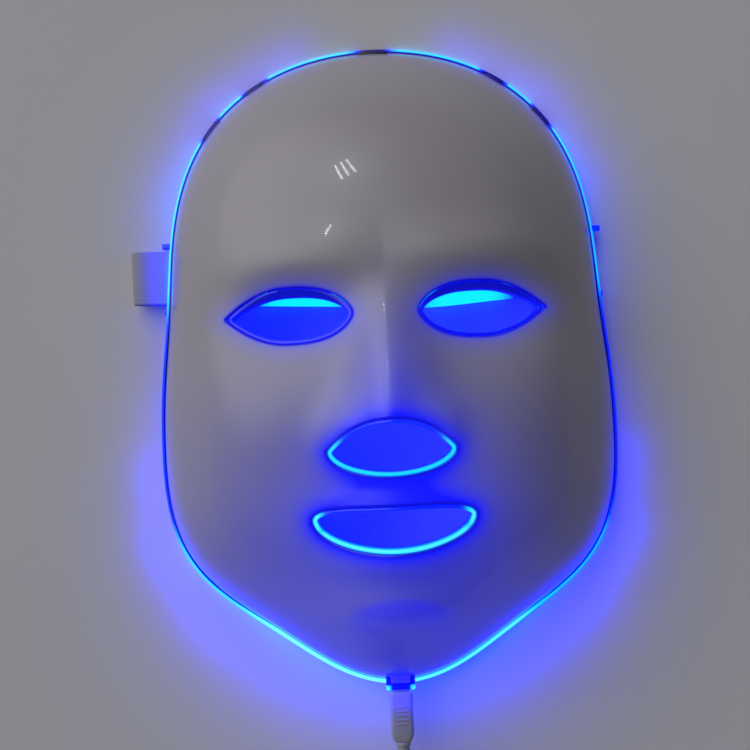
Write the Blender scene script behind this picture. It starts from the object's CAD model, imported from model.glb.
"""Light therapy face mask, lying face up with its lights on, on a plain pale floor."""

import math

import bmesh
import bpy
import numpy as np
from mathutils import Matrix, Vector, geometry


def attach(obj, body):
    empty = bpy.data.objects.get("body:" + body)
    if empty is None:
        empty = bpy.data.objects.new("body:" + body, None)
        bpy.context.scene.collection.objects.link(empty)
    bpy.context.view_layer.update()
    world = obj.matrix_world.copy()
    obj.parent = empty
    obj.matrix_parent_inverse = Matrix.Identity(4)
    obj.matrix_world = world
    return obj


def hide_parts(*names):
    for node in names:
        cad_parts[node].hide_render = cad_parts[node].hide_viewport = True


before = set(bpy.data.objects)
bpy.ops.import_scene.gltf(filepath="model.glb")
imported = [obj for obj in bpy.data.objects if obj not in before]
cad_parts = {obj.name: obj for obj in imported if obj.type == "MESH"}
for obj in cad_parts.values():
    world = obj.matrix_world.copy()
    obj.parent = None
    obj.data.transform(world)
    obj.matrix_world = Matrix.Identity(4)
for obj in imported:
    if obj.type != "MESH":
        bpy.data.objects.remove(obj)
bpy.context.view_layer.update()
MM = 0.001

# ---- Driving dimensions of the face, in millimetres, as the frame has them ----

FACE_LENGTH = 236.0
FACE_WIDTH = 173.0
FACE_DEPTH = 60.0
NOSE_REACH = 19.0
SHELL_WALL = 2.0
LINER_WALL = 1.6
LIGHT_GAP = 5.0
FLANGE_REACH = 1.6
FLANGE_T = 1.6
SHELL_GAP = 0.15
STRAP_W = 20.0
STRAP_T = 1.2
LEAD_D = 3.5

OUTLINE = [0.551, 0.534, 0.452, 0.367, 0.356, 0.388, 0.415, 0.419, 0.448]
RIM_LIFT = [0, 0, 4, 8, 4, 0, 0, 6, 12]
FULLNESS = [0.955, 0.96, 0.972, 0.985, 0.992, 0.99, 0.975, 0.955, 0.95]
DOME_POWER = 2.35
STRETCH = FACE_WIDTH / (FACE_LENGTH * 0.733)
CENTRE_Y = -0.042 * FACE_LENGTH
RELIEF = [
    (30, 38, 26, 10, 3),  # brow
    (33, 17, 22, 14, -6),  # eye hollow
    (48, -18, 24, 20, 3),  # cheekbone
    (15, -20, 8, 9, 5),  # nostril wing
    (0, -53, 34, 16, 6),  # lips
    (0, -66, 20, 6, 3),  # lower lip
    (0, -84, 24, 12, 6),  # chin
]

# Skins: inset of the outline, drop of the crest, share of the relief, base over the rim.
OUTER = (0.0, 0.0, 1.0, FLANGE_T + SHELL_GAP)
INNER = (SHELL_WALL, SHELL_WALL, 1.0, FLANGE_T + SHELL_GAP)
LINER_INSET = SHELL_WALL + LIGHT_GAP
LINER = (LINER_INSET, LINER_INSET, 0.85, FLANGE_T)
LINER_BACK = (LINER_INSET + LINER_WALL, LINER_INSET + LINER_WALL, 0.85, 0.0)

# ---- Face surface ----


def parts(values):
    """Cosine parts of a smooth even curve through values spaced from crown to chin."""
    n = len(values) - 1
    ends = np.ones(n + 1)
    ends[0] = ends[-1] = 0.5
    j = np.arange(n + 1)
    return [
        2 * ends[k] / n * float(np.sum(ends * values * np.cos(math.pi * j * k / n)))
        for k in range(n + 1)
    ]


def at(curve_parts, bearing):
    return sum(p * np.cos(k * bearing) for k, p in enumerate(curve_parts))


OUTLINE_PARTS = parts(OUTLINE)
LIFT_PARTS = parts(RIM_LIFT)
FULL_PARTS = parts(FULLNESS)


def radius(bearing):
    return FACE_LENGTH * at(OUTLINE_PARTS, bearing)


def ease(u):
    c = np.clip(u, 0, 1)
    return c * c * (3 - 2 * c)


def relief(x, y):
    down = ease((34 - y) / 52)
    z = NOSE_REACH * down * ease((y + 40) / 18) * np.exp(-((x / (9 + 4 * down)) ** 2))
    for across, up, wide, tall, rise in RELIEF:
        z = z + rise * np.exp(-(((np.abs(x) - across) / wide) ** 2) - ((y - up) / tall) ** 2)
    return z


def dome(t, full):
    edge = np.sqrt(1 - full**DOME_POWER)
    return (np.sqrt(1 - (full * np.minimum(t, 1)) ** DOME_POWER) - edge) / (1 - edge)


def polar(x, y):
    """Bearing from the crown and distance of places in plan, with the width's stretch taken out."""
    across = x / STRETCH
    up = y - CENTRE_Y
    return np.arctan2(across, up), np.hypot(across, up)


def skin_height(skin, x, y):
    inset, drop, share, base = skin
    bearing, r = polar(x, y)
    t = np.minimum(1, r / (radius(bearing) - inset))
    low = np.maximum(0, at(LIFT_PARTS, bearing)) + base
    rise = (FACE_DEPTH - drop - low) * dome(t, at(FULL_PARTS, bearing))
    return low + rise + share * relief(x, y) * (1 - t**6)


def outward(x, y):
    """Direction that the outer skin faces over places in plan."""
    dx = skin_height(OUTER, x + 0.5, y) - skin_height(OUTER, x - 0.5, y)
    dy = skin_height(OUTER, x, y + 0.5) - skin_height(OUTER, x, y - 0.5)
    n = np.stack([-dx, -dy, np.ones_like(dx)], axis=-1)
    return n / np.linalg.norm(n, axis=-1, keepdims=True)


def under_face(x, y, depth):
    """Point under the outer skin, by a depth along its own direction."""
    x, y = np.asarray(x, float), np.asarray(y, float)
    top = np.stack([x, y, skin_height(OUTER, x, y)], axis=-1)
    return top - depth * outward(x, y)


def rim_point(bearing, out, up):
    """Point at a bearing, out from the rim's outline and up from its lower edge."""
    r = radius(bearing) + out
    z = np.maximum(0, at(LIFT_PARTS, bearing)) + up
    return np.stack([r * np.sin(bearing) * STRETCH, CENTRE_Y + r * np.cos(bearing), z], axis=-1)


# ---- Openings ----


def arch(width, rise, left, right, n=60):
    """Half of an almond: each end has a power for how full it is, and a second that rounds its tip."""
    u = np.sin(np.linspace(-1, 1, n + 1) * math.pi / 2)
    fullness = np.where(u < 0, left[0], right[0])
    rounding = np.where(u < 0, left[1], right[1])
    return np.stack([width / 2 * u, rise * np.maximum(0, 1 - np.abs(u) ** fullness) ** rounding], axis=-1)


def almond(middle, width, up, down, top, low):
    return np.concatenate([arch(width, up, *top), arch(width, -down, *low)[::-1][1:-1]]) + middle


def evenly(loop, step):
    """Points spaced evenly round a closed loop."""
    closed = np.vstack([loop, loop[:1]])
    run = np.concatenate([[0], np.cumsum(np.linalg.norm(np.diff(closed, axis=0), axis=1))])
    count = int(run[-1] / step)
    want = np.arange(count) * run[-1] / count
    return np.stack([np.interp(want, run, closed[:, k]) for k in (0, 1)], axis=-1)


def loop_normals(loop):
    """Directions out of a closed loop that runs clockwise."""
    along = np.roll(loop, -1, axis=0) - np.roll(loop, 1, axis=0)
    n = np.stack([-along[:, 1], along[:, 0]], axis=-1)
    return n / np.linalg.norm(n, axis=1, keepdims=True)


LID_LIP = 1.6


def opening_loops(lip=0.0):
    """Outlines of the eyes, the nose and the mouth. A lip lowers the eyes' upper lids."""
    eye_ends, round_ends = ((2.7, 0.65), (2, 1)), ((2, 0.5), (2, 0.5))
    eye = almond((33.2, 18.5), 44.4, 9.5 - lip, 9.5, eye_ends, eye_ends)
    other_eye = (eye * (-1, 1))[::-1]
    nose = almond((0, -27), 43, 10.5, 9, ((2.3, 1), (2.3, 1)), round_ends)
    mouth = almond((0, -50), 55, 4, 12, ((5, 0.6), (5, 0.6)), round_ends)
    return [evenly(loop, 0.7) for loop in (eye, other_eye, nose, mouth)]


LOOPS = opening_loops()
LIPPED_LOOPS = opening_loops(LID_LIP)


def shrunk(loop, by):
    """A closed loop moved in by a distance, without the folds that its corners would make."""
    moved = loop - by * loop_normals(loop)
    return evenly(moved[distance(moved, loop) > by - 0.03], 0.7)


def inside(points, loop):
    """Whether each point is inside a closed loop."""
    x, y = points[:, :1], points[:, 1:]
    a, b = loop, np.roll(loop, -1, axis=0)
    crosses = (a[:, 1] > y) != (b[:, 1] > y)
    slope = (b[:, 0] - a[:, 0]) / np.where(b[:, 1] == a[:, 1], 1e-12, b[:, 1] - a[:, 1])
    left = x < a[:, 0] + (y - a[:, 1]) * slope
    return (crosses & left).sum(axis=1) % 2 == 1


def distance(points, loop):
    """Distance of each point from a closed loop's points."""
    return np.min(np.linalg.norm(points[:, None, :] - loop[None, :, :], axis=2), axis=1)


# ---- Mesh helpers ----


def new_object(name, verts, faces, material, smooth=True):
    """A mesh object from points in millimetres."""
    mesh = bpy.data.meshes.new(name)
    points = [tuple(v) for v in np.asarray(verts, float) * MM]
    mesh.from_pydata(points, [], [tuple(map(int, f)) for f in faces])
    mesh.validate()
    mesh.update()
    obj = bpy.data.objects.new(name, mesh)
    bpy.context.scene.collection.objects.link(obj)
    mesh.materials.append(material)
    if smooth:
        for polygon in mesh.polygons:
            polygon.use_smooth = True
    return obj


def rework(obj, degrees, face_out=False):
    """Turns a closed body's faces to point out, and keeps edges sharper than an angle, if any, crisp."""
    bm = bmesh.new()
    bm.from_mesh(obj.data)
    if face_out:
        bmesh.ops.recalc_face_normals(bm, faces=bm.faces)
    if degrees:
        for edge in bm.edges:
            if len(edge.link_faces) == 2 and edge.calc_face_angle(0) > math.radians(degrees):
                edge.smooth = False
    bm.to_mesh(obj.data)
    bm.free()


def set_values(obj, **layers):
    """Gives each point its values by name, or all of them the same one."""
    for name, values in layers.items():
        layer = obj.data.attributes.new(name, "FLOAT", "POINT")
        layer.data.foreach_set("value", np.full(len(obj.data.vertices), values, np.float32))


def place(obj, body, replaced=()):
    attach(obj, body)
    if replaced:
        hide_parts(*replaced)
    return obj


def smooth_path(points, steps):
    """Smooth curve through points: the same even spline as the frame's."""
    p = np.asarray(points, float)
    out = []
    last = len(p) - 2
    for i in range(last + 1):
        b, c = p[i], p[i + 1]
        a = p[i - 1] if i > 0 else 2 * b - c
        d = p[i + 2] if i < last else 2 * c - b
        for k in range(steps):
            f = k / steps
            bend = (2 * a - 5 * b + 4 * c - d) * f**2 + (3 * b - a - 3 * c + d) * f**3
            out.append(0.5 * (2 * b + (c - a) * f + bend))
    out.append(p[-1])
    return np.array(out)


def directions(path):
    along = np.empty_like(path)
    along[1:-1] = path[2:] - path[:-2]
    along[0] = path[1] - path[0]
    along[-1] = path[-1] - path[-2]
    return along / np.linalg.norm(along, axis=1, keepdims=True)


def sweep(path, section, sides, looped=False):
    """Points and faces of a closed section swept along a path: a loop, or a run with both ends capped."""
    ahead = directions(path)
    ups = np.cross(sides, ahead)
    rings = [[path[i] + q[0] * sides[i] + q[1] * ups[i] for q in section] for i in range(len(path))]
    return loft(rings, looped)


def loft(rings, looped=False):
    """Points and faces through closed rings of equal length: a loop, or a run with both ends capped."""
    n, count = len(rings[0]), len(rings)
    faces = []
    for i in range(count if looped else count - 1):
        j = (i + 1) % count
        for k in range(n):
            m = (k + 1) % n
            faces.append((i * n + k, i * n + m, j * n + m, j * n + k))
    if not looped:
        faces.append(tuple(range(n - 1, -1, -1)))
        faces.append(tuple((count - 1) * n + k for k in range(n)))
    return np.array([q for ring in rings for q in ring], float), faces


def level_sides(path):
    """Directions across a path that stay level."""
    side = np.cross(directions(path), [0.001, 0, 1])
    return side / np.linalg.norm(side, axis=1, keepdims=True)


def disc(r, n):
    a = np.arange(n) * 2 * math.pi / n
    return np.stack([r * np.cos(a), r * np.sin(a)], axis=-1)


def soft_rect(w, h, r, n=6):
    """Rounded rectangle, anticlockwise."""
    out = []
    for k, (cx, cy) in enumerate([(1, 1), (-1, 1), (-1, -1), (1, -1)]):
        for i in range(n + 1):
            a = math.pi / 2 * (k + i / n)
            out.append((cx * (w / 2 - r) + r * math.cos(a), cy * (h / 2 - r) + r * math.sin(a)))
    return np.array(out)


def build(name, pieces, material, slot_name, *replaced, body="mask", crease=0, smooth=True, **values):
    """A placed object from (points, faces) pairs, creased by angle, with values for its points."""
    verts, faces, start = [], [], 0
    for points, polygons in pieces:
        verts.append(np.asarray(points, float))
        faces += [tuple(start + int(k) for k in f) for f in polygons]
        start += len(points)
    obj = new_object(name, np.concatenate(verts), faces, material, smooth)
    rework(obj, crease, face_out=True)
    set_values(obj, **values)
    return place(obj, body, replaced)


def lathe(profile, n=24, looped=False):
    """Points and faces of a profile of (radius, height) turned about +Z. A looped profile makes a ring."""
    rings = [[(r * q[0], r * q[1], z) for q in disc(1, n)] for r, z in profile]
    return loft(rings, looped)


def block(middle, size, r, segments=3):
    """Points and faces of a box with rounded edges."""
    bm = bmesh.new()
    bmesh.ops.create_cube(bm, size=1)
    for vert in bm.verts:
        vert.co = Vector(np.array(middle) + np.array(vert.co) * size)
    rounding = {"offset": r, "segments": segments, "profile": 0.5, "clamp_overlap": True}
    bmesh.ops.bevel(bm, geom=bm.edges[:], affect="EDGES", **rounding)
    bm.verts.index_update()
    verts = np.array([vert.co for vert in bm.verts])
    faces = [tuple(vert.index for vert in face.verts) for face in bm.faces]
    bm.free()
    return verts, faces


def moved(piece, matrix):
    points, faces = piece
    return np.array([matrix @ Vector(p) for p in points]), faces


def mirrored(piece):
    points, faces = piece
    return points * (-1, 1, 1), [face[::-1] for face in faces]


def as_made(piece):
    return piece


def both_sides(pieces):
    """Each piece followed by its mirror image."""
    return [turned(piece) for piece in pieces for turned in (as_made, mirrored)]


def on_face(x, y, depth):
    """Matrix of a place on the outer skin with +Z outward, sunk by a depth."""
    turn = Vector((0, 0, 1)).rotation_difference(Vector(outward(x, y)))
    return Matrix.Translation(Vector(under_face(x, y, depth))) @ turn.to_matrix().to_4x4()


def at_rim(bearing):
    """Matrix of a place on the rim's lower edge with +Y outward and +X along the rim."""
    here, ahead = Vector(rim_point(bearing, 0, 0)), Vector(rim_point(bearing + 0.01, 0, 0))
    turn = math.atan2(ahead.y - here.y, ahead.x - here.x)
    return Matrix.Translation(here) @ Matrix.Rotation(turn, 4, "Z")


def towards(point, direction):
    """Matrix that puts +Z along a direction from a point."""
    turn = Vector((0, 0, 1)).rotation_difference(Vector(direction))
    return Matrix.Translation(Vector(point)) @ turn.to_matrix().to_4x4()


def cut_out(obj, low, high):
    """Cuts a box out of a body."""
    low, high = np.array(low, float), np.array(high, float)
    points, faces = block((low + high) / 2, high - low, 0.3)
    cutter = new_object("cutter", points, faces, obj.data.materials[0], smooth=False)
    modifier = obj.modifiers.new("cut", "BOOLEAN")
    modifier.operation = "DIFFERENCE"
    modifier.solver = "EXACT"
    modifier.object = cutter
    bpy.context.view_layer.update()
    whole = obj.evaluated_get(bpy.context.evaluated_depsgraph_get())
    made = bpy.data.meshes.new_from_object(whole)
    obj.modifiers.remove(modifier)
    obj.data = made
    bpy.data.objects.remove(cutter)


# ---- Sheets over the face ----

SECTORS = 240
RINGS = 84
TOP, UNDERSIDE, RIM, OPENING = range(4)


def disc_place(skin, x, y):
    """Places in plan as places on the unit disc on which a skin's rings are evenly spaced."""
    bearing, r = polar(x, y)
    s = np.arcsin(np.clip(r / (radius(bearing) - skin[0]), 0, 1)) * 2 / math.pi
    return np.stack([s * np.sin(bearing), s * np.cos(bearing)], axis=-1)


def plan_place(skin, uv):
    """The reverse of disc_place."""
    s = np.minimum(np.hypot(uv[:, 0], uv[:, 1]), 1)
    bearing = np.arctan2(uv[:, 0], uv[:, 1])
    r = np.sin(s * math.pi / 2) * (radius(bearing) - skin[0])
    return np.stack([r * np.sin(bearing) * STRETCH, CENTRE_Y + r * np.cos(bearing)], axis=-1)


def skin_sheet(skin, loops, collars, fillet, rings):
    """One skin as triangles that follow its openings.

    collars are distances out from each opening's loop, the first of which is its edge. fillet is the
    radius that rolls the skin over at that edge. Returns points, triangles, the rim's point numbers and
    each opening's edge point numbers.
    """
    uv = [np.zeros((1, 2))]
    for i in range(1, rings + 1):
        a = (np.arange(SECTORS) + 0.5 * (i % 2 if i < rings else 0)) * 2 * math.pi / SECTORS
        uv.append(i / rings * np.stack([np.sin(a), np.cos(a)], axis=-1))
    grid = np.concatenate(uv)
    plan = plan_place(skin, grid)
    keep = np.ones(len(grid), bool)
    clear = collars[-1] + 0.5
    for loop in loops:
        near = np.where(np.abs(plan - loop.mean(axis=0)).max(axis=1) < 40)[0]
        away = (distance(plan[near], loop) > clear) & ~inside(plan[near], loop)
        keep[near] &= away
    grid, plan = grid[keep], plan[keep]
    rim = list(range(len(grid) - SECTORS, len(grid)))
    points, places, drops, edges, rings_of_loops = [grid], [plan], [np.zeros(len(grid))], [], []
    start = len(grid)
    for loop in loops:
        out = loop_normals(loop)
        for k, d in enumerate(collars):
            ring = loop + d * out
            points.append(disc_place(skin, ring[:, 0], ring[:, 1]))
            places.append(ring)
            gap = max(0.0, fillet - (d - collars[0]))
            drops.append(np.full(len(ring), fillet - math.sqrt(max(0.0, fillet**2 - gap**2))))
            if k == 0:
                ids = list(range(start, start + len(ring)))
                rings_of_loops.append(ids)
                edges += [(ids[i], ids[(i + 1) % len(ids)]) for i in range(len(ids))]
            start += len(ring)
    points, places, drops = np.concatenate(points), np.concatenate(places), np.concatenate(drops)
    made = geometry.delaunay_2d_cdt([Vector(p) for p in points], edges, [], 0, 1e-9, True)
    source = [ids[0] for ids in made[3]]
    triangles = np.array([[source[k] for k in f] for f in made[2]])
    middles = places[triangles].mean(axis=1)
    solid = np.ones(len(triangles), bool)
    for loop in loops:
        solid &= ~inside(middles, loop + collars[0] * loop_normals(loop))
    triangles = triangles[solid]
    z = skin_height(skin, places[:, 0], places[:, 1]) - drops
    return np.column_stack([places, z]), triangles, rim, rings_of_loops


def upward(points, triangles):
    """The triangles turned so that they all face up."""
    a, b, c = (points[triangles[:, k]] for k in range(3))
    cross = (b[:, 0] - a[:, 0]) * (c[:, 1] - a[:, 1]) - (b[:, 1] - a[:, 1]) * (c[:, 0] - a[:, 0])
    turned = triangles.copy()
    turned[cross < 0] = turned[cross < 0][:, ::-1]
    return turned


def closed_wall(upper, lower, loops, collars, fillet, rim_rings=(), rings=RINGS):
    """A wall between two skins, with rings of extra points round its rim.

    Returns its points, its faces and each face's group: top, underside, rim or opening.
    """
    top, top_faces, top_rim, top_loops = skin_sheet(upper, loops, collars, fillet, rings)
    low, low_faces, low_rim, low_loops = skin_sheet(lower, loops, collars, 0.0, rings)
    shift = len(top)
    verts = [top, low]
    faces = upward(top, top_faces).tolist() + (upward(low, low_faces)[:, ::-1] + shift).tolist()
    groups = [TOP] * len(top_faces) + [UNDERSIDE] * len(low_faces)
    chain = [top_rim]
    count = shift + len(low)
    for ring in rim_rings:
        verts.append(ring)
        chain.append(list(range(count, count + len(ring))))
        count += len(ring)
    chain.append([k + shift for k in low_rim])
    for a, b in zip(chain, chain[1:]):
        n = len(a)
        faces += [(a[i], a[(i + 1) % n], b[(i + 1) % n], b[i]) for i in range(n)]
        groups += [RIM] * n
    for a, b in zip(top_loops, low_loops):
        n = len(a)
        faces += [(a[i], b[i] + shift, b[(i + 1) % n] + shift, a[(i + 1) % n]) for i in range(n)]
        groups += [OPENING] * n
    return np.concatenate(verts), faces, groups


# ---- Materials ----


class Nodes:
    """Short ways to add nodes to a tree."""

    def __init__(self, tree):
        self.tree = tree

    def node(self, kind, **settings):
        node = self.tree.nodes.new(kind)
        for name, value in settings.items():
            socket = name.replace("_", " ")
            if socket in node.inputs:
                node.inputs[socket].default_value = value
            else:
                setattr(node, name, value)
        return node

    def link(self, a, b):
        self.tree.links.new(a, b)

    def give(self, value, socket):
        """Links a socket, or sets a number or a colour."""
        if isinstance(value, bpy.types.NodeSocket):
            self.link(value, socket)
        else:
            socket.default_value = (*value, 1) if isinstance(value, tuple) else value

    def coordinates(self, scale=(1, 1, 1)):
        """Object coordinates, scaled."""
        mapping = self.node("ShaderNodeMapping", Scale=scale)
        self.link(self.node("ShaderNodeTexCoord").outputs["Object"], mapping.inputs["Vector"])
        return mapping.outputs["Vector"]

    def attribute(self, name):
        return self.node("ShaderNodeAttribute", attribute_name=name).outputs["Fac"]

    def noise(self, scale, detail=4.0, stretch=(1, 1, 1)):
        node = self.node("ShaderNodeTexNoise", Scale=scale, Detail=detail)
        self.link(self.coordinates(stretch), node.inputs["Vector"])
        return node.outputs["Fac"]

    def ramp(self, factor, *stops):
        """Colours by factor: stops are (place, (r, g, b))."""
        node = self.node("ShaderNodeValToRGB")
        elements = node.color_ramp.elements
        while len(elements) < len(stops):
            elements.new(0.5)
        for element, (where, colour) in zip(elements, stops):
            element.position = where
            element.color = (*colour, 1)
        self.link(factor, node.inputs["Fac"])
        return node.outputs["Color"]

    def mapped(self, value, **settings):
        node = self.node("ShaderNodeMapRange", **settings)
        self.link(value, node.inputs["Value"])
        return node.outputs["Result"]

    def step(self, value, low, high, top=1.0):
        """0 where value is under low, and top where it is over high."""
        return self.mapped(value, interpolation_type="SMOOTHSTEP", From_Min=low, From_Max=high, To_Max=top)

    def math(self, operation, a, b):
        node = self.node("ShaderNodeMath", operation=operation)
        self.give(a, node.inputs[0])
        self.give(b, node.inputs[1])
        return node.outputs[0]

    def mixed(self, factor, a, b):
        """Colour a where factor is 0, b where it is 1."""
        node = self.node("ShaderNodeMix", data_type="RGBA")
        self.link(factor, node.inputs["Factor"])
        self.give(a, node.inputs[6])
        self.give(b, node.inputs[7])
        return node.outputs[2]


class Finish(Nodes):
    """A node material round one shader, whose plain socket values are given by name."""

    def __init__(self, name, **sockets):
        self.material = bpy.data.materials.new(name)
        self.material.use_nodes = True
        super().__init__(self.material.node_tree)
        self.shader = self.tree.nodes["Principled BSDF"]
        for socket, value in sockets.items():
            self.give(value, self.shader.inputs[socket.replace("_", " ")])

    def feed(self, socket, value):
        self.link(value, self.shader.inputs[socket])

    def bump(self, height, strength, depth):
        node = self.node("ShaderNodeBump", Strength=strength, Distance=depth)
        self.link(height, node.inputs["Height"])
        self.feed("Normal", node.outputs["Normal"])


def lit(colour, strength):
    """Socket values of a glow."""
    return {"Emission_Color": colour, "Emission_Strength": strength}


def mottled(name, scale, dark, light, grain=None, **sockets):
    """Plastic whose colour drifts between two shades. grain is its scale, detail, strength and depth."""
    f = Finish(name, **sockets)
    f.feed("Base Color", f.ramp(f.noise(scale), (0.3, dark), (0.7, light)))
    if grain:
        size, detail, strength, depth = grain
        f.bump(f.noise(size, detail), strength, depth)
    return f


def shell_plastic():
    """Glossy white plastic. Its points say how much blue comes through, and where an edge is in shade."""
    f = Finish("shell_plastic", Coat_Weight=0.4, Coat_Roughness=0.035, IOR=1.48, Emission_Strength=1.0)
    glow, shade = f.attribute("glow"), f.attribute("shade")
    tint = f.ramp(glow, (0, (0.47, 0.44, 0.485)), (0.4, (0.32, 0.32, 0.52)), (1, (0.03, 0.045, 0.5)))
    f.feed("Base Color", f.mixed(shade, tint, (0.01, 0.01, 0.12)))
    light = f.ramp(glow, (0, (0, 0, 0)), (0.5, (0, 0, 0.46)), (1, (0, 0, 1)))
    f.feed("Emission Color", f.mixed(shade, light, (0.0, 0.0, 0.3)))
    f.feed("Roughness", f.mapped(f.noise(30.0, 1.0), To_Min=0.26, To_Max=0.32))
    f.bump(f.noise(110.0, 0.0), 0.02, 0.0002)
    return f.material


def tab_plastic():
    """The rim's clips, dark against the lit edge that they interrupt."""
    dark, light, grain = (0.02, 0.02, 0.1), (0.03, 0.03, 0.14), (300, 2, 0.05, 0.0001)
    return mottled("tab_plastic", 70, dark, light, grain, Roughness=0.35, Coat_Weight=0.2).material


def shell_inside():
    """The shell's back and posts, lit blue by the lights."""
    dark, light, glow = (0.5, 0.52, 0.85), (0.58, 0.6, 0.9), lit((0.03, 0.05, 0.9), 0.35)
    return mottled("shell_inside", 40, dark, light, Roughness=0.45, **glow).material


def liner_plastic():
    """Clear plastic, faintly blue all through from the lights."""
    gloss = {"Roughness": 0.08, "Alpha": 0.32, "IOR": 1.55, "Coat_Weight": 0.4, "Coat_Roughness": 0.04}
    dark, light, grain = (0.2, 0.3, 0.9), (0.216, 0.324, 0.972), (180, 2, 0.04, 0.0002)
    return mottled("liner_plastic", 25, dark, light, grain, **gloss, **lit((0.0, 0.004, 0.8), 0.3)).material


def edge_light():
    """The liner's lit edge: cyan where its glow value is high, blue elsewhere."""
    f = Finish("edge_light", Roughness=0.12, IOR=1.55, Coat_Weight=0.4, Emission_Strength=1.5)
    glow = f.attribute("glow")
    tint = [(0, (0.01, 0.01, 0.12)), (0.5, (0.02, 0.05, 0.5)), (1, (0.1, 0.7, 0.95))]
    f.feed("Base Color", f.ramp(glow, *tint))
    dim = [(0, (0, 0, 0.08)), (0.25, (0, 0, 0.6)), (0.5, (0, 0.05, 1))]
    f.feed("Emission Color", f.ramp(glow, *dim, (0.8, (0, 0.42, 1)), (1, (0.12, 0.8, 1))))
    f.bump(f.noise(300.0, 2.0), 0.05, 0.0002)
    return f.material


def light_package():
    dark, light, glow = (0.3, 0.35, 0.9), (0.36, 0.42, 0.95), lit((0.0, 0.01, 1.0), 1.5)
    return mottled("light_package", 400, dark, light, Roughness=0.35, **glow).material


def light_lens():
    f = Finish("light_lens", Roughness=0.1, Coat_Weight=0.6, **lit((0.0, 0.02, 1.0), 6.0))
    f.feed("Base Color", f.ramp(f.noise(500.0), (0.2, (0.1, 0.4, 1.0)), (0.8, (0.2, 0.5, 1.0))))
    return f.material


def moulded(name, light, dark, roughness=(0.35, 0.5)):
    """Moulded plastic with a fine grain: its colour and roughness vary a little."""
    f = mottled(name, 35, dark, light, (900, 3, 0.25, 0.00004))
    f.feed("Roughness", f.mapped(f.noise(80.0), To_Min=roughness[0], To_Max=roughness[1]))
    return f.material


def plated(name, colour, roughness=0.22):
    """Plated sheet metal with fine brushing and faint stains."""
    f = Finish(name, Metallic=1.0)
    dark = tuple(c * 0.8 for c in colour)
    f.feed("Base Color", f.ramp(f.noise(120.0), (0.3, dark), (0.65, colour)))
    brushing = f.noise(900.0, 3.0, (1, 12, 12))
    f.feed("Roughness", f.mapped(brushing, To_Min=roughness, To_Max=roughness + 0.18))
    f.bump(f.noise(1400.0, 2.0, (1, 10, 10)), 0.15, 0.00003)
    return f.material


def circuit_board():
    """Green solder mask over faint copper runs."""
    f = Finish("circuit_board", Roughness=0.35, Coat_Weight=0.3)
    masks = {"Color1": (0.012, 0.12, 0.045, 1), "Color2": (0.015, 0.14, 0.05, 1)}
    runs = f.node("ShaderNodeTexBrick", Scale=420.0, Mortar=(0.03, 0.22, 0.07, 1), Mortar_Size=0.02, **masks)
    f.link(f.coordinates(), runs.inputs["Vector"])
    f.feed("Base Color", runs.outputs["Color"])
    f.bump(runs.outputs["Fac"], 0.3, 0.00003)
    return f.material


def light_board():
    """White solder mask of the flexible boards, tinted by the lights."""
    dark, light, grain = (0.62, 0.66, 0.92), (0.72, 0.76, 0.98), (500, 4, 0.2, 0.00004)
    glow = lit((0.02, 0.04, 0.9), 0.5)
    return mottled("light_board", 90, dark, light, grain, Roughness=0.4, **glow).material


def webbing():
    """Woven elastic: cords along it, crossed by a fine weft. Its points carry along and across in mm."""
    sheen = {"Sheen_Weight": 0.35, "Sheen_Roughness": 0.5}
    f = Finish("strap_webbing", Roughness=0.85, **sheen, Emission_Strength=1.1)
    along, across = f.attribute("along"), f.attribute("across")
    cord_pitch, weft_pitch = 1.25, 0.8
    cords = f.math("SINE", f.math("MULTIPLY", across, 2 * math.pi / cord_pitch), 0)
    weft = f.math("SINE", f.math("MULTIPLY", along, 2 * math.pi / weft_pitch), 0)
    weave = f.math("MULTIPLY", f.math("MULTIPLY", cords, weft), 0.5)
    height = f.math("ADD", f.math("MULTIPLY", cords, 0.5), weave)
    factor = f.math("ADD", f.math("MULTIPLY", height, 0.4), 0.5)
    f.feed("Base Color", f.ramp(factor, (0.1, (0.36, 0.36, 0.455)), (0.7, (0.4, 0.4, 0.5))))
    f.bump(height, 0.3, 0.0002)
    seen = f.math("MULTIPLY", f.attribute("seen"), f.step(across, 4.0, 5.5))
    glow = f.math("MAXIMUM", f.attribute("glow"), seen)
    light = f.ramp(glow, (0, (0, 0, 0)), (0.5, (0, 0, 0.8)), (0.8, (0, 0.4, 1)), (1, (0, 0.8, 1)))
    f.feed("Emission Color", light)
    return f.material


def nap(name, colour, scale, depth):
    """Hook or loop tape: a dense field of little tufts."""
    f = Finish(name, Roughness=0.9, Sheen_Weight=0.4)
    tufts = f.node("ShaderNodeTexVoronoi", Scale=scale)
    f.link(f.coordinates(), tufts.inputs["Vector"])
    shaded = tuple(c * 0.6 for c in colour)
    f.feed("Base Color", f.ramp(tufts.outputs["Distance"], (0, colour), (0.6, shaded)))
    f.bump(tufts.outputs["Distance"], 0.8, depth)
    return f.material


def floor_finish():
    return mottled("floor", 3, (0.79, 0.79, 0.81), (0.82, 0.82, 0.84), Roughness=0.6).material


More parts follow.
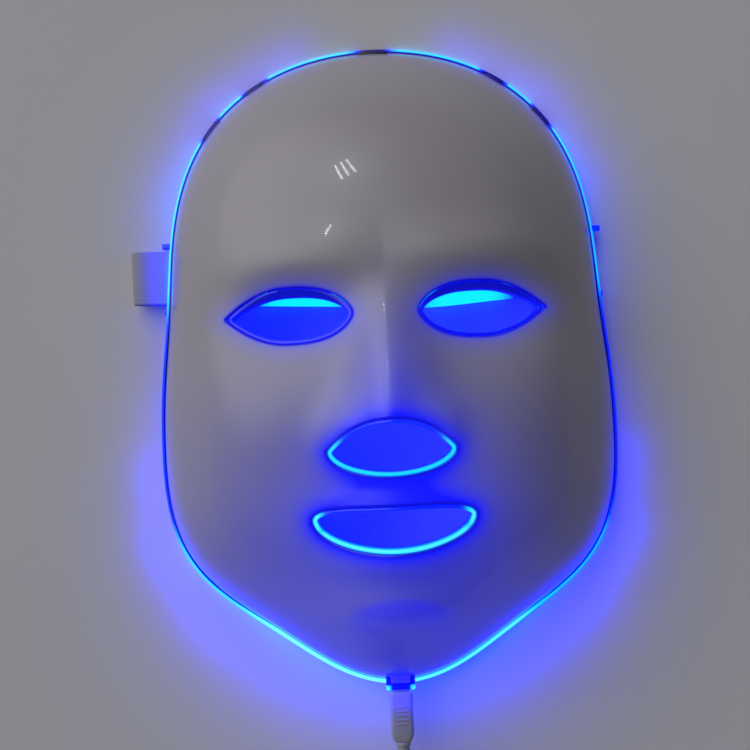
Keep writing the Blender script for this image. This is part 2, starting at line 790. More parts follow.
SHELL = shell_plastic()
TAB = tab_plastic()
SHELL_BACK = shell_inside()
CLEAR = liner_plastic()
EDGE = edge_light()
PACKAGE = light_package()
LENS = light_lens()
WHITE_CABLE = moulded("cable_white", (0.46, 0.46, 0.54), (0.42, 0.42, 0.5), (0.38, 0.5))
BLACK_PLASTIC = moulded("black_plastic", (0.022, 0.022, 0.024), (0.014, 0.014, 0.015))
WIRE_RED = moulded("wire_red", (0.5, 0.04, 0.03), (0.4, 0.03, 0.03), (0.3, 0.45))
INSULATOR = moulded("insulator_white", (0.8, 0.8, 0.8), (0.72, 0.72, 0.73))
METAL = plated("plated_metal", (0.7, 0.7, 0.72))
SCREW_STEEL = plated("screw_steel", (0.6, 0.6, 0.62), 0.28)
GOLD = plated("contact_gold", (0.83, 0.62, 0.25), 0.2)
BOARD_GREEN = circuit_board()
BOARD_WHITE = light_board()
WEBBING = webbing()
THREAD = moulded("thread", (0.8, 0.8, 0.83), (0.68, 0.68, 0.72), (0.7, 0.85))
HOOK_TAPE = nap("hook_tape", (0.72, 0.72, 0.75), 1800.0, 0.0003)
LOOP_TAPE = nap("loop_tape", (0.68, 0.68, 0.72), 1300.0, 0.0004)

# ---- Camera ----


def camera():
    """Straight above the face, with its top a little clockwise of the crown."""
    data = bpy.data.cameras.new("camera")
    data.sensor_width = 36
    data.lens = 53.88
    obj = bpy.data.objects.new("camera", data)
    obj.location = (-0.0045, -0.0025, 0.43)
    obj.rotation_euler = (0, 0, math.radians(-2.5))
    bpy.context.scene.collection.objects.link(obj)
    bpy.context.scene.camera = obj


camera()

# ---- Lead ----

SOCKET_Z = 14.5
MOUTH_Y = CENTRE_Y - FACE_LENGTH * OUTLINE[8] - 1.7
GRIP_Y = MOUTH_Y - 2.2
GRIP_L = 18.6
RELIEF_L = 14.0
LEAD = [
    (0, -152, 14.5), (0, -157, 14.2), (0, -163, 12.2), (0, -170, 8.4), (0, -177, 4.6), (0, -184, 2.6),
    (0, -190, 2.25),
]
TAIL = [
    (0, -190, 12.75), (0.2, -197, 12.4), (-1, -204, 10.6), (-4.6, -211, 7.8), (-10.4, -216.6, 5),
    (-18, -220, 2.9), (-26, -221.4, 2.3), (-34, -221.8, 3), (-39, -222, 4),
]
COIL_MIDDLE = (-23.75, -190)
COIL_IN, COIL_OUT = 13.25, 23.75
COIL_LOW = 2.25
COIL_ROWS, COIL_LAYERS = 3, 4


def coil_point(turn):
    """Point of the coil: rows wound in, then out, each layer lying on the one below."""
    layer = min(COIL_LAYERS - 1, int(turn / COIL_ROWS))
    part = turn / COIL_ROWS - layer
    width = COIL_OUT - COIL_IN
    r = COIL_OUT - width * part if layer % 2 == 0 else COIL_IN + width * part
    climb = sum(float(ease((turn - COIL_ROWS * k + 0.125) / 0.25)) for k in range(1, COIL_LAYERS))
    a = -2 * math.pi * turn
    return (COIL_MIDDLE[0] + r * math.cos(a), COIL_MIDDLE[1] + r * math.sin(a), COIL_LOW + LEAD_D * climb)


def lead_path():
    turns = COIL_ROWS * COIL_LAYERS
    steps = 40
    coil = [coil_point(k / steps) for k in range(1, turns * steps)]
    return np.concatenate([smooth_path(LEAD, 6), coil, smooth_path(TAIL, 6)])


def cable_part(name, pieces, *replaced, crease=0):
    return build(name, pieces, WHITE_CABLE, "lead_white", *replaced, body="cable", crease=crease)


def lead():
    """The whole lead: down from the plug, twelve turns of stored coil, and out to the far plug."""
    path = lead_path()
    length = float(np.linalg.norm(np.diff(path, axis=0), axis=1).sum())
    tube = sweep(path, disc(LEAD_D / 2, 14), level_sides(path))
    return cable_part("lead_cable", [tube], "lead", "lead_coil", "lead_tail"), path, length


def strain_relief(name, replaced, start, way, length, r):
    """A sleeve of rings and grooves that step down to the cord."""
    tip_r, ribs = 2.05, 9
    pitch = length / ribs
    edge = min(0.16, pitch / 4)
    profile = [(0.01, 0)]
    for i in range(ribs):
        here = (r + (tip_r - r) * i / (ribs - 1)) * (1.0 if i % 2 == 0 else 0.82)
        low, high = i * pitch, (i + 1) * pitch
        profile += [(here - edge * 0.6, low + 0.01), (here, low + edge)]
        profile += [(here, high - edge), (here - edge * 0.6, high - 0.01)]
    profile.append((0.01, length))
    return cable_part(name, [moved(lathe(profile, 32), towards(start, way))], replaced, crease=40)


def plug_grip():
    """The moulded grip: soft edges, a waisted thumb pad with ribs, and a shoulder at the relief."""
    stations = [
        (0.0, 7.6, 4.5), (0.25, 8.1, 5.0), (0.8, 8.45, 5.34), (1.6, 8.5, 5.4), (5.0, 8.5, 5.4),
        (9.0, 8.42, 5.3), (13.0, 8.45, 5.35), (15.6, 8.4, 5.3), (17.0, 7.9, 5.1), (18.0, 7.0, 4.9),
        (18.45, 6.3, 4.7), (GRIP_L, 5.8, 4.4),
    ]
    rings = [
        [(x, GRIP_Y - along, SOCKET_Z + z) for x, z in soft_rect(w, h, 1.6)]
        for along, w, h in stations
    ]
    rib_y = [GRIP_Y - 5.4 - 1.6 * k for k in range(5)]
    ribs = [block((0, y, SOCKET_Z + 2.63), (4.2, 0.7, 0.46), 0.17) for y in rib_y]
    return cable_part("plug_moulded_grip", [loft(rings), *ribs], "plug_grip", crease=50)


def plug_relief():
    start = (0, GRIP_Y - GRIP_L, SOCKET_Z)
    return strain_relief("plug_strain_relief", "plug_relief", start, (0, -1, 0), RELIEF_L, 2.9)


FAR_MIDDLE = (-39.0, -222.0, 4.0)
FAR_Y, FAR_Z = FAR_MIDDLE[1:]
FAR_RELIEF_L = 9.0
FAR_BACK = FAR_MIDDLE[0] - FAR_RELIEF_L
FAR_GRIP = (24.0, 15.0, 8.0)
FAR_SHELL = (18.7, 12.0, 4.5)
FAR_FRONT = FAR_BACK - FAR_GRIP[0] - FAR_SHELL[0]


def far_grip():
    """Grip of the second plug: rounded, slightly waisted, with finger ribs on both edges."""
    w, h = FAR_GRIP[1:]
    narrowed = [
        (0, 3.4, 2.4), (0.3, 2.2, 1.5), (1.2, 0.8, 0.6), (2.6, 0.2, 0.15), (4, 0, 0), (9, 0.5, 0),
        (14, 0.5, 0), (19, 0, 0), (22.6, 0, 0), (23.5, 0.3, 0.3), (24, 1.0, 1.0),
    ]
    rings = [
        [(FAR_BACK - along, FAR_Y + y, FAR_Z + z) for y, z in soft_rect(w - less_w, h - less_h, 2.4)]
        for along, less_w, less_h in narrowed
    ]
    ribs = [
        block((FAR_BACK - x, FAR_Y + side * (w / 2 - 0.45), FAR_Z), (0.7, 0.7, 4.0), 0.25)
        for x in np.arange(5) * 1.7 + 7.6 for side in (-1, 1)
    ]
    return cable_part("far_plug_grip", [loft(rings), *ribs], "far_grip", crease=50)


def far_relief():
    start = (FAR_BACK, FAR_Y, FAR_Z)
    return strain_relief("far_strain_relief", "far_relief", start, (1, 0, 0), FAR_RELIEF_L, 2.7)


def far_contacts():
    """Four gold contacts on the far plug's insulator, and the shell's two pairs of latch windows."""
    half = FAR_SHELL[2] / 2
    on_core = FAR_Z - half + 2.37
    bars = [
        block((FAR_FRONT + 6.05, FAR_Y + y, on_core), (8.9, w, 0.1), 0.03)
        for y, w in ((-3.5, 1.2), (-1.0, 1.0), (1.0, 1.0), (3.5, 1.2))
    ]
    contacts = build("far_plug_contacts", bars, GOLD, "plated_metal", body="cable")
    windows = [
        block((FAR_FRONT + 6.7, FAR_Y + y, z), (2.4, 2.3, 0.03), 0.01)
        for y in (-2.9, 2.9) for z in (FAR_Z + half, FAR_Z - half)
    ]
    dark = build("far_plug_windows", windows, BLACK_PLASTIC, "chip_black", body="cable", smooth=False)
    return [contacts, dark]


def coil_tie():
    """Soft strap round the coil's bundle, with its end lapped over itself."""
    y, across = COIL_MIDDLE[1], (0.0, 1.0, 0.0)
    path = np.array([(-42.25 + x, y, 7.5 + z) for x, z in soft_rect(14.5, 14.5, 2.0, 8)])
    band = sweep(path, soft_rect(4.0, 0.46, 0.2, 3), np.tile(across, (len(path), 1)), looped=True)
    lap = np.array([(x, y, 15.0) for x in np.linspace(-47.2, -39.5, 8)])
    end = sweep(lap, soft_rect(3.8, 0.4, 0.18, 3), np.tile(across, (len(lap), 1)))
    made = [band, end]
    return build("coil_strap_tie", made, BLACK_PLASTIC, "tie_black", "coil_tie", body="cable", crease=50)


def finish_nodes(material, *names):
    """Gives CAD nodes that keep their shape their material."""
    for name in names:
        mesh = bpy.data.objects[name].data
        mesh.materials.clear()
        mesh.materials.append(material)


def cords():
    cable, path, length = lead()
    plug = [plug_grip(), plug_relief(), "plug_tip", "plug_core"]
    far = [far_grip(), far_relief(), *far_contacts(), "far_shell", "far_core"]
    coil_tie()
    finish_nodes(METAL, "plug_tip", "far_shell", "socket_shell")
    finish_nodes(BLACK_PLASTIC, "plug_core")
    finish_nodes(INSULATOR, "far_core")


cords()

# ---- Outer shell ----

# Each tab's bearing on the rim, in degrees, and its length.
TABS = [(0, 11), (21.2, 7), (-21.2, 7), (31.2, 9), (-31.2, 9)]
SCREWS = [(48, 80), (59, -36)]
POST_DEPTH, SCREW_DEPTH, BOSS_DEPTH = 5.8, 8.9, 12
SHANK_R = 0.88
BOARD_SCREW_X = 8.6
BRACKET = (77.5, 36.75)
CHIN_BOARD_Y = -101.5
CHIN_BOARD_DEPTH = 3.5
FRAME_W, FRAME_H, FRAME_L = 10.8, 5.2, 8.3
FRAME_Y = MOUTH_Y - 1.4


def spot(x, y, middle, wide, tall):
    return np.exp(-(((x - middle[0]) / wide) ** 2) - ((y - middle[1]) / tall) ** 2)


def shell_glow(points):
    """How much of the lights' blue comes through the shell: most at its openings, nose and chin."""
    plan = points[:, :2]
    x, y = plan[:, 0], plan[:, 1]
    bearing, r = polar(x, y)
    to_rim = radius(bearing) - r
    low = ease((30 - y) / 120)
    glow = 0.42 * low * np.exp(-(((x + 8) / 60) ** 4))
    glow = glow + (0.05 + 0.3 * low) * np.exp(-to_rim / (5 + 4 * low))
    glow = glow + 0.3 * spot(x, y, (0, -6), 13, 26)
    near = [distance(plan, loop) for loop in LOOPS]
    for away in near[:2]:
        glow = glow + 0.5 * np.exp(-((away / 1.3) ** 1.2)) + 0.16 * np.exp(-((away / 6) ** 2))
    for away, reach in zip(near[2:], (3.6, 3.4)):
        glow = glow + 0.6 * np.exp(-((away / reach) ** 1.4)) + 0.18 * np.exp(-((away / 12) ** 2))
    glow = glow + 0.45 * spot(x, y, (0, -42), 17, 5)
    return np.clip(glow + chin_light(x, y), 0, 1)


def edge_shade(points):
    """Dark line along the shell's edge at the openings."""
    shade = np.zeros(len(points))
    for loop, reach in zip(LOOPS, (0.5, 0.5, 0.8, 0.9)):
        shade = np.maximum(shade, 0.9 * np.exp(-((distance(points[:, :2], loop) / reach) ** 2)))
    return shade


def chin_light(x, y):
    """Lens of stronger light on the chin, crisp along its top."""
    across = ((x - 1) / 18) ** 2
    under = -78.5 - 6 * across - y
    top, fall = ease(under / 3.5 + 0.5), np.exp(-((np.maximum(under, 0) / 11) ** 2))
    return 0.24 * np.exp(-(across**3)) * top * fall


def cut_wall(name, wall, finishes, group, hole, slot_name, replaced, **values):
    """A placed object from a closed wall, less a box. One group of its faces has the second finish."""
    verts, faces, groups = wall
    obj = new_object(name, verts, faces, finishes[0])
    obj.data.materials.append(finishes[1])
    obj.data.polygons.foreach_set("material_index", [int(g == group) for g in groups])
    set_values(obj, **values)
    rework(obj, 40)
    cut_out(obj, *hole)
    return place(obj, "mask", (replaced,))


def mask_shell():
    """The white face: rolled edges round its openings, its underside lit by the lights."""
    wall = closed_wall(OUTER, INNER, LOOPS, [0, 0.12, 0.35, 0.65, 1.0, 1.6, 2.4], 0.9)
    half = FRAME_W / 2 + 0.15
    hole_top = SOCKET_Z + FRAME_H / 2 + 0.15
    hole = ((-half, FRAME_Y - 1, 5), (half, FRAME_Y + FRAME_L + 1.1, hole_top))
    light = {"glow": shell_glow(wall[0]), "shade": edge_shade(wall[0])}
    both = (SHELL, SHELL_BACK)
    cut_wall("mask_shell", wall, both, UNDERSIDE, hole, "white_plastic", "outer_shell", **light)


def rim_tabs():
    """Tabs of the shell that clip over the liner's flange."""
    tabs = [
        moved(block((0, -0.9, 1.6), (length, 2.6, 3.2), 0.3), at_rim(math.radians(bearing)))
        for bearing, length in TABS
    ]
    build("shell_tabs", tabs, TAB, "white_plastic", "outer_shell", crease=50)


def socket_hood():
    """Tongue of the shell over the socket."""
    tongue = block((0, MOUTH_Y + 4.9, SOCKET_Z + 3.6), (7.2, 6.6, 1.7), 0.55, 4)
    build("shell_hood", [tongue], SHELL, "white_plastic", "outer_shell", crease=50, glow=0.75)


def board_screw_places(depth):
    board = on_face(0, CHIN_BOARD_Y, CHIN_BOARD_DEPTH + depth)
    return [board @ Matrix.Translation((x, 0, 0)) for x in (-BOARD_SCREW_X, BOARD_SCREW_X)]


def shell_posts():
    """Hollow posts inside the shell for the liner's screws and the chin board."""
    tall = lathe([(2.6, 0), (2.6, 4.8), (0.9, 4.8), (0.9, 0.2), (1.1, 0)], 28, True)
    short = lathe([(1.9, 0), (1.9, 2.2), (0.9, 2.2), (0.9, 0.2), (1.05, 0)], 24, True)
    posts = both_sides([moved(tall, on_face(*where, POST_DEPTH)) for where in SCREWS])
    posts += [moved(short, where) for where in board_screw_places(-0.05)]
    build("shell_posts", posts, SHELL_BACK, "white_plastic", "outer_shell", crease=35)


mask_shell()
rim_tabs()
socket_hood()
shell_posts()

# ---- Liner ----

COLLAR_GAP = 0.25
COLLAR_WALL = 1.15
COLLAR_TOP = (0.4, 0.4, 1.0, FLANGE_T)
TAB_RADIUS = 115


def flange_glow(points):
    """The flange's outer edge is a lit line: dim at the cheeks, and dark at the shell and its tabs."""
    turn, r = polar(points[:, 0], points[:, 1])
    bearing = np.degrees(turn)
    away = np.abs(bearing)
    level = 0.82 - 0.1 * ease((bearing - 38) / 10)
    level = level - 0.42 * ease((away - 62) / 12) * ease((128 - away) / 14)
    level = level + 0.18 * ease((away - 140) / 16)
    for middle, length in TABS:
        half = math.degrees(length / 2 / TAB_RADIUS)
        level = level * ease((np.abs(bearing - middle) - half) / 0.4)
    start = 0.62 - 0.5 * ease((away - 132) / 22)
    return np.clip(level * ease((r - radius(turn) - start) / 0.22 + 0.5), 0, 1)


def liner_dome():
    """The clear liner: its dome carries the openings, and its flange is one lit ring round the rim."""
    loops = [shrunk(loop, COLLAR_GAP + COLLAR_WALL) for loop in LIPPED_LOOPS]
    profile = [(out, FLANGE_T) for out in (-0.3, 0.0, 0.2, 0.4, 0.6, 0.8, 1.0, FLANGE_REACH - 0.35)] + [
        (FLANGE_REACH - 0.08, FLANGE_T - 0.15), (FLANGE_REACH, FLANGE_T - 0.4), (FLANGE_REACH, 0.4),
        (FLANGE_REACH - 0.12, 0.1), (FLANGE_REACH - 0.45, 0),
    ]
    bearings = np.arange(SECTORS) * 2 * math.pi / SECTORS
    flange = [rim_point(bearings, out, up) for out, up in profile]
    wall = closed_wall(LINER, LINER_BACK, loops, [0, 0.8, 1.6], 0.0, flange, rings=60)
    hole = ((-3.95, FRAME_Y - 1, SOCKET_Z - 1.4), (3.95, FRAME_Y + FRAME_L + 0.4, SOCKET_Z + 1.4))
    glow = flange_glow(wall[0])
    cut_wall("liner_dome", wall, (CLEAR, EDGE), RIM, hole, "clear_plastic", "liner", glow=glow)


def collar(loop, lipped, bright):
    """Wall round an opening, up from the liner to just under the face: points, faces and glow."""
    inner = shrunk(lipped, COLLAR_GAP + COLLAR_WALL)
    out = loop_normals(inner)
    widths = np.maximum(distance(inner, loop) - COLLAR_GAP, COLLAR_WALL)
    profile = [
        (0.02, None), (0, -0.4), (0.07, -0.14), (0.26, -0.01), (0.74, -0.01), (0.93, -0.14), (1, -0.4),
        (0.98, None),
    ]
    rings, glow = [], []
    for middle, width, way in zip(inner, widths, out):
        ring = []
        for across, down in profile:
            x, y = middle + across * width * way
            if down is None:
                z = float(skin_height(LINER_BACK, x, y)) + 0.15
            else:
                z = float(skin_height(COLLAR_TOP, x, y)) + down
            ring.append((x, y, z))
            glow.append(bright(x, y) * (0.25 if down is None else 1))
        rings.append(ring)
    return loft(rings, looped=True), glow


def eye_bright(x, y):
    return 0.2 - 0.09 * float(ease((y - 20) / 4))


def lit_below(level, rise, line, fade, corner, spread):
    """How bright a collar is: its level, with a rise below a line and out towards its corners."""

    def bright(x, y):
        return level + rise * float(max(ease((line - y) / fade), ease((abs(x) - corner) / spread)))

    return bright


def collars():
    nose, mouth = lit_below(0.3, 0.5, -25, 5, 13, 7), lit_below(0.28, 0.58, -51, 4, 21, 5)
    made = [collar(*each) for each in zip(LOOPS, LIPPED_LOOPS, (eye_bright, eye_bright, nose, mouth))]
    glow = np.concatenate([values for _, values in made])
    walls = [wall for wall, _ in made]
    build("opening_collars", walls, EDGE, "clear_plastic", "liner", crease=50, glow=glow)


def brackets():
    """Lugs under the flange at each temple, with the bar that the strap runs round."""
    x, y = BRACKET
    reach = 12.4
    lugs = [block((x + 1.5, y + end * reach, 4.9), (7, 2.2, 5.4), 0.4) for end in (-1, 1)]
    bar = lathe([(0.01, -reach), (1.0, -reach), (1.0, reach), (0.01, reach)], 20)
    made = both_sides([*lugs, moved(bar, towards((x, y, 3.2), (0, 1, 0)))])
    build("strap_brackets", made, EDGE, "clear_plastic", "liner", crease=40, glow=0.3)


def bosses():
    """Counterbored bosses of the liner that the screws sit in."""
    boss = lathe([(3.2, 0), (3.2, 6.1), (1.1, 6.1), (1.1, 4.4), (2.1, 4.4), (2.1, 0.2), (2.3, 0)], 32, True)
    made = both_sides([moved(boss, on_face(*where, BOSS_DEPTH)) for where in SCREWS])
    build("liner_bosses", made, CLEAR, "clear_plastic", "liner", crease=35)


def split_flats(section, n=12):
    """A section with its flats divided, so that light can vary along them."""
    out = []
    for a, b in zip(section, np.roll(section, -1, axis=0)):
        steps = n if np.linalg.norm(b - a) > 1 else 1
        out += [a + (b - a) * k / steps for k in range(steps)]
    return np.array(out)


def socket_frame():
    """Clear frame round the socket, lit at its front corners."""
    w, h = FRAME_W, FRAME_H
    stations = [
        (2.4, w, h, 1.0), (1.6, w, h, 1.0), (0.35, w, h, 1.0), (0.1, w - 0.25, h - 0.25, 0.9),
        (0, w - 0.7, h - 0.7, 0.75), (0, 8.3, 3.2, 0.7), (0.2, 7.9, 2.8, 0.55), (FRAME_L, 7.9, 2.8, 0.55),
        (FRAME_L, w, h, 1.0),
    ]
    rings = [
        [(x, FRAME_Y + back, SOCKET_Z + z) for x, z in split_flats(soft_rect(wide, high, r))]
        for back, wide, high, r in stations
    ]
    points, faces = loft(rings, looped=True)
    corner = ease((np.abs(points[:, 0]) - 3.1) / 0.8) * ease((FRAME_Y + 2.2 - points[:, 1]) / 0.7)
    glow = 0.12 + 0.75 * corner
    build("socket_frame", [(points, faces)], EDGE, "clear_plastic", "liner", crease=40, glow=glow)


liner_dome()
collars()
brackets()
bosses()
socket_frame()

# ---- Strap ----

STRAP = [
    (-44, 36, 1.9), (-54, 36.4, 1.9), (-62, 36.8, 2), (-70, 37, 3.4), (-77.5, 37.3, 5.3),
    (-85, 37.5, 7.2), (-91, 37.6, 7.5), (-94, 37.6, 4.8), (-91, 37.5, 1.2), (-84, 37.3, 0.62),
    (-62, 36.4, 0.62), (-40, 35.3, 0.62), (-18, 34.2, 0.62), (15, 32.4, 0.62), (43, 34, 0.62),
    (66, 35.6, 0.62), (75, 36.2, 0.9), (79.8, 36.5, 2.2), (79.8, 36.6, 4.4), (76, 36.7, 5.3),
    (70, 36.6, 4.6), (62, 36.2, 3.2), (43, 35.1, 3.05), (15, 33.5, 3.05),
]


def strap():
    """Woven elastic band through both brackets: sewn back on itself at one end, folded over at the other.

    The lights tint it all along but for its loop at the left, and its upper face more behind the eyes.
    """
    path = smooth_path(STRAP, 10)
    section = soft_rect(STRAP_W, STRAP_T, 0.55, 5)
    piece = sweep(path, section, np.tile([0.0, -1.0, 0.0], (len(path), 1)))
    run = np.concatenate([[0], np.cumsum(np.linalg.norm(np.diff(path, axis=0), axis=1))])
    x, z = np.repeat(path[:, 0], len(section)), np.repeat(path[:, 2], len(section))
    values = {
        "along": np.repeat(run, len(section)),
        "across": np.tile(section[:, 0], len(path)),
        "seen": np.exp(-(((np.abs(x) - 31) / 20) ** 6)) * (piece[0][:, 2] > z),
        "glow": 0.45 * ease((np.abs(x + 95) - 2) / 9),
    }
    band = build("strap_band", [piece], WEBBING, "elastic_webbing", "strap", **values)
    stitches = strap_stitches()
    finish_nodes(HOOK_TAPE, "hook_patch")
    finish_nodes(LOOP_TAPE, "loop_patch")


def strap_stitches():
    """Thread that sews the strap's end down: a box of stitches and its two diagonals."""
    stitch = lathe([(0.03, 0), (0.17, 0.2), (0.2, 0.9), (0.17, 1.6), (0.03, 1.8)], 8)
    top = 2.48
    spots = [((x, y, top), (1, 0, 0)) for y in (28.4, 43.8) for x in np.arange(-53.6, -45.6, 2.1)]
    spots += [((x, y, top), (0, 1, 0)) for x in (-53.8, -45.2) for y in np.arange(28.6, 42.6, 2.1)]
    for k in range(8):
        for start, way in ((28.8, 1), (43.4, -1)):
            spots.append(((-53.4 + k, start + way * k * 1.86, top), (0.47, way * 0.88, 0)))
    return build("strap_stitches", [moved(stitch, towards(*s)) for s in spots], THREAD, "elastic_webbing")


strap()

# ---- Lights ----

# Boards: name, both ends, bow, number of lights, and whether there is one on each side.
STRIPS = [
    ("crown", (-32, 90), (32, 90), 7, 7, False),
    ("forehead", (-46, 68), (46, 68), 8, 9, False),
    ("brow", (-44, 45), (44, 45), 5, 9, False),
    ("nose", (0, 33), (0, 4), 0, 3, False),
    ("chin", (-20, -86), (20, -86), -4, 5, False),
    ("temple", (57, 60), (63, 9), 0, 6, True),
    ("cheek_upper", (62, -5), (26, -6), 0, 4, True),
    ("cheek_lower", (66, -22), (30, -27), 0, 4, True),
    ("jaw", (65, -46), (39, -50), 0, 3, True),
    ("chin_side", (56, -66), (28, -76), 0, 4, True),
]
BOARD_DEPTH, BOARD_T = 3.2, 0.8
LED = (3.4, 2.8, 1.4)
PACKAGE_SHAPE = block((0, 0, LED[2] / 2), LED, 0.16, 2)
LENS_SHAPE = lathe([(1.16, 0.03), (1.12, -0.07), (0.95, -0.15), (0.6, -0.21), (0.02, -0.24)], 14)
FEET = [block((side * 2.05, 0, LED[2] - 0.15), (0.76, 2, 0.26), 0.08, 1) for side in (-1, 1)]
SIDES = {"right": as_made, "left": mirrored}


def strip_points(start, end, bow, count):
    """Places of the lights along a board, which bows sideways in the middle."""
    start, end = np.array(start, float), np.array(end, float)
    run = end - start
    side = np.array([-run[1], run[0]]) / np.linalg.norm(run)
    us = [(k + 0.5) / count for k in range(count)]
    return [start + u * run + 4 * bow * u * (1 - u) * side for u in us]


def strip_lights(name, points, turned):
    """The lights of one board: packages, domed lenses and two solder feet for each."""
    places = [on_face(x, y, BOARD_DEPTH + BOARD_T + LED[2]) for x, y in points]

    def at_each(*shapes):
        return [turned(moved(shape, where)) for where in places for shape in shapes]

    replaced = f"lights_{name}"
    build(f"leds_{name}", at_each(PACKAGE_SHAPE), PACKAGE, "light", replaced, crease=50)
    build(f"lenses_{name}", at_each(LENS_SHAPE), LENS, "light", replaced)
    build(f"solder_{name}", at_each(*FEET), METAL, "plated_metal")
    finish_nodes(BOARD_WHITE, f"board_{name}")


def light_boards():
    for name, start, end, bow, count, twin in STRIPS:
        points = strip_points(start, end, bow, count)
        if twin:
            for side, turned in SIDES.items():
                strip_lights(f"{side}_{name}", points, turned)
        else:
            strip_lights(name, points, as_made)


light_boards()

# ---- Wires and chin electronics ----

HARNESS = [
    (12.4, -100), (30, -93), (52, -80), (68, -59), (76, -36), (76, -6), (71, 24), (69, 50), (62, 74),
    (46, 92), (35, 94),
]
# Each branch's start on the harness and its end at a board.
BRANCHES = [
    [(58.9, -69.6), (57, -66.6)], [(70, -51.4), (66.2, -46.8)], [(74.8, -22.5), (66.8, -22)],
    [(74.9, -5.6), (62.8, -5)], [(68.6, 36), (64.2, 36)], [(61.8, 70.6), (46.8, 68.2)],
]
SOCKET_WIRE = [(0, -111.6, 14.5), (0, -110.2, 14.9), (0, -109.1, 16.9), (0, -107, 20), (0, -102.2, 25.6)]
CHIN_BOARD_T = 1.0


def face_wire(places, depth, r, steps):
    plan = smooth_path(places, steps)
    path = under_face(plan[:, 0], plan[:, 1], depth)
    return sweep(path, disc(r, 10), level_sides(path))


def wires():
    main = face_wire(HARNESS, 4.6, 0.7, 6)
    branches = [face_wire([a, tuple((np.array(a) + b) / 2), b], 3.65, 0.45, 3) for a, b in BRANCHES]
    for side, turned in SIDES.items():
        build(f"harness_wire_{side}", [turned(main)], WIRE_RED, "wire", f"harness_{side}")
        build(f"branch_wires_{side}", [turned(b) for b in branches], WIRE_RED, "wire", f"branches_{side}")
    path = smooth_path(SOCKET_WIRE, 6)
    runs = [sweep(path + (x, 0, 0), disc(0.35, 10), level_sides(path)) for x in (-1.8, -0.6, 0.6, 1.8)]
    build("socket_wire_runs", runs, WIRE_RED, "wire", "socket_wires")


def board_parts():
    """Small parts on the chin board, the solder at both their ends, and the chip's legs."""
    board = on_face(0, CHIN_BOARD_Y, CHIN_BOARD_DEPTH + CHIN_BOARD_T)
    parts_at = [(-5.2, 4.2), (-5.2, 1.6), (-5.2, -1.0), (0, 5.2), (2.0, 5.2), (-2.4, 5.2)]
    bodies = [block((x, y, -0.2), (0.7, 0.8, 0.44), 0.06, 1) for x, y in parts_at]
    metal = [
        block((x, y + side * 0.62, -0.215), (0.8, 0.48, 0.47), 0.06, 1)
        for x, y in parts_at for side in (-1, 1)
    ]
    metal += [
        block((side * 2.9, -1.9 + k * 1.27, -0.14), (0.84, 0.4, 0.32), 0.05, 1)
        for k in range(4) for side in (-1, 1)
    ]
    build("board_small_parts", [moved(part, board) for part in bodies], BLACK_PLASTIC, "chip_black")
    build("board_solder", [moved(part, board) for part in metal], METAL, "plated_metal")


def screw(matrix, r, height, reach):
    """A screw seen from below: its domed head and shank, and the arms of its dark cross recess."""
    dome = [(0.02, height), (r, height), (r, 0.3), (r * 0.86, 0.06), (r * 0.5, -0.02), (0.02, -0.04)]
    head = lathe(dome, 28)
    shank = lathe([(SHANK_R, height - 0.1), (SHANK_R, reach), (0.3, reach + 0.1)], 16)
    arms = [block((0, 0, 0.12), (r * a, r * b, 0.36), 0.05, 1) for a, b in ((1.2, 0.28), (0.28, 1.2))]
    return [moved(head, matrix), moved(shank, matrix)], [moved(arm, matrix) for arm in arms]


def screws():
    heads, recesses = [], []
    for where in SCREWS:
        solid, arms = screw(on_face(*where, SCREW_DEPTH), 1.9, 1.3, 6.3)
        heads += both_sides(solid)
        recesses += both_sides(arms)
    build("case_screw_heads", heads, SCREW_STEEL, "steel", "case_screws")
    heads = []
    for where in board_screw_places(CHIN_BOARD_T + 0.9):
        solid, arms = screw(where, 1.7, 0.9, 3.0)
        heads += solid
        recesses += arms
    build("board_screw_heads", heads, SCREW_STEEL, "steel", "board_screws")
    build("screw_recesses", recesses, BLACK_PLASTIC, "chip_black", smooth=False)


wires()
board_parts()
screws()
finish_nodes(BOARD_GREEN, "chin_board")
finish_nodes(BLACK_PLASTIC, "driver_chip", "regulators", "socket_tongue")

# ---- Floor, light and what is left ----


def floor():
    reach = 3000
    corners = [(-reach, -reach, 0), (reach, -reach, 0), (reach, reach, 0), (-reach, reach, 0)]
    new_object("floor", corners, [(0, 1, 2, 3)], floor_finish(), smooth=False)


def lamp(name, where, aim, size, power, colour=(1, 1, 1)):
    data = bpy.data.lights.new(name, "AREA")
    data.shape = "RECTANGLE"
    data.size, data.size_y = size
    data.energy = power
    data.color = colour
    obj = bpy.data.objects.new(name, data)
    obj.location = where
    obj.rotation_euler = (Vector(aim) - Vector(where)).to_track_quat("-Z", "Y").to_euler()
    bpy.context.scene.collection.objects.link(obj)
    return obj


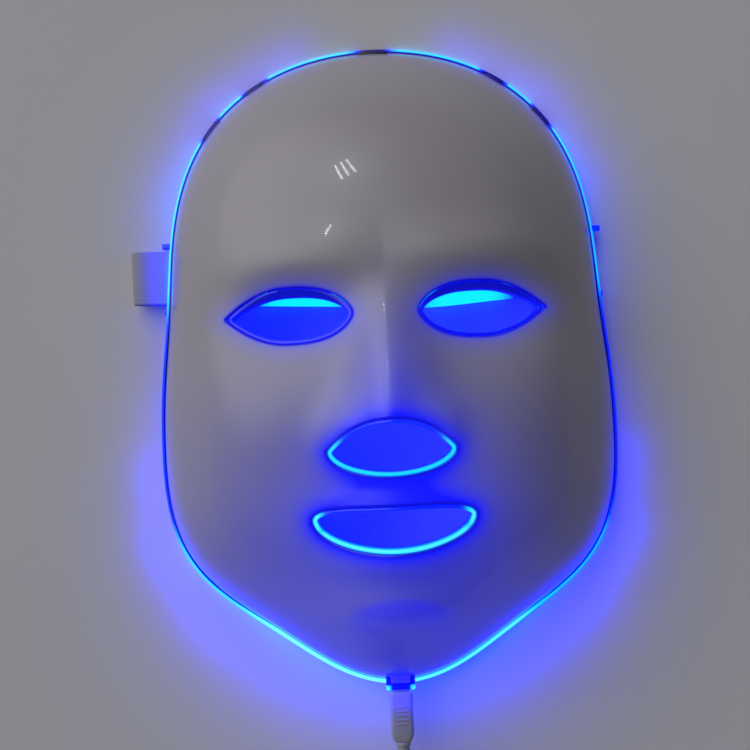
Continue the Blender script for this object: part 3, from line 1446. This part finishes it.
def sky():
    """Soft light all round: dark overhead, pale at the horizon, and brightest at the upper left."""
    world = bpy.data.worlds.new("studio")
    world.use_nodes = True
    f = Nodes(world.node_tree)
    way = f.node("ShaderNodeTexCoord").outputs["Generated"]
    toward = f.node("ShaderNodeVectorMath", operation="DOT_PRODUCT")
    toward.inputs[1].default_value = Vector((-0.6, 0.52, 0.6)).normalized()
    f.link(way, toward.inputs[0])
    split = f.node("ShaderNodeSeparateXYZ")
    f.link(way, split.inputs[0])
    bright = f.step(toward.outputs["Value"], 0.6, 1.0, 1.2)
    fade = f.mapped(split.outputs["Z"], interpolation_type="SMOOTHSTEP", To_Min=0.08, To_Max=0.02)
    background = f.tree.nodes["Background"]
    background.inputs["Color"].default_value = (0.98, 0.98, 1.0, 1)
    f.link(f.math("ADD", bright, fade), background.inputs["Strength"])
    bpy.context.scene.world = world


DEEP_BLUE = (0.0, 0.001, 1.0)
# Bearings on the rim, in degrees from the crown, and the power of the lamps there.
HALO = [
    (176, 0.004), (164, 0.009), (149, 0.012), (132, 0.008), (116, 0.003), (101, 0.001), (55, 0.001),
    (38, 0.002), (20, 0.0015),
]


def halo():
    """Blue light that the rim throws on the table, strongest under the jaw."""
    for bearing, power in HALO:
        for side in (-1, 1):
            turn = math.radians(side * bearing)
            here, below = rim_point(turn, 4, 9), rim_point(turn, 6, 0)
            made = lamp("rim_light", tuple(here * MM), tuple(below * MM), (0.045, 0.008), power, DEEP_BLUE)
            ahead = rim_point(turn + 0.01, 4, 9) - here
            made.rotation_euler = (0, 0, math.atan2(ahead[1], ahead[0]))


def tubes():
    """Three narrow lamps side by side, level and past the crown, for crisp highlights on the gloss."""
    for k in (-1, 0, 1):
        x, y = -0.254 + 0.05 * k, 1.49 + 0.043 * k
        made = lamp("tube", (x, y, 1.0), (x, y, 0), (0.018, 0.33), 0.5)
        made.rotation_euler = (0, 0, math.radians(18.5))


def studio():
    """The soft sky, the tubes, and the blue of the lights."""
    sky()
    tubes()
    for x in (-0.03, 0.03):
        lamp("inside", (x, -0.005, 0.03), (x, -0.005, 0), (0.035, 0.11), 0.02, DEEP_BLUE)
    halo()
    bpy.context.scene.view_settings.view_transform = "Standard"


floor()
studio()
